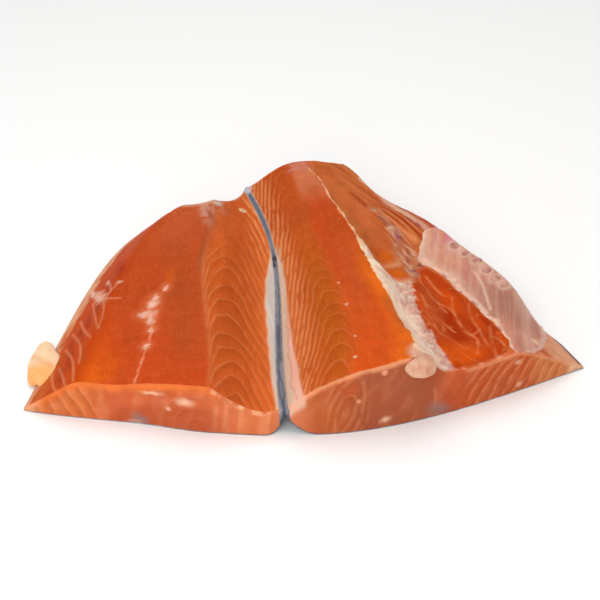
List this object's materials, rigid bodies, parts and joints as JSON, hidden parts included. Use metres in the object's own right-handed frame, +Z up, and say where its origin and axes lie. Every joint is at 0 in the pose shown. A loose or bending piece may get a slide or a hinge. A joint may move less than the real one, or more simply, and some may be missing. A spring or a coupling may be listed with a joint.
{
  "type": "butterflied salmon fillet",
  "caption": "Raw salmon laid open skin down, thick loins joined by the skin of the back, thin belly edges, cut square across the front.",
  "frame": {"origin": "middle of the bounding box at its underside, on the surface that the fillet lies on", "axes": "+X across the fillet from the smaller loin to the larger one, +Y along the seam of the back away from the front cut, +Z up"},
  "size_m": [0.2746, 0.2096, 0.0381],
  "materials": {
    "flesh": "moist raw muscle, soft satin gloss with pale fat lines",
    "skin": "scaled silver grey skin, damp",
    "fat": "soft cream fat and connective tissue",
    "membrane": "thin pinkish belly lining, wet gloss"
  },
  "bodies": {
    "root": {"salmon_fillet": "flesh"}
  },
  "joints": []
}
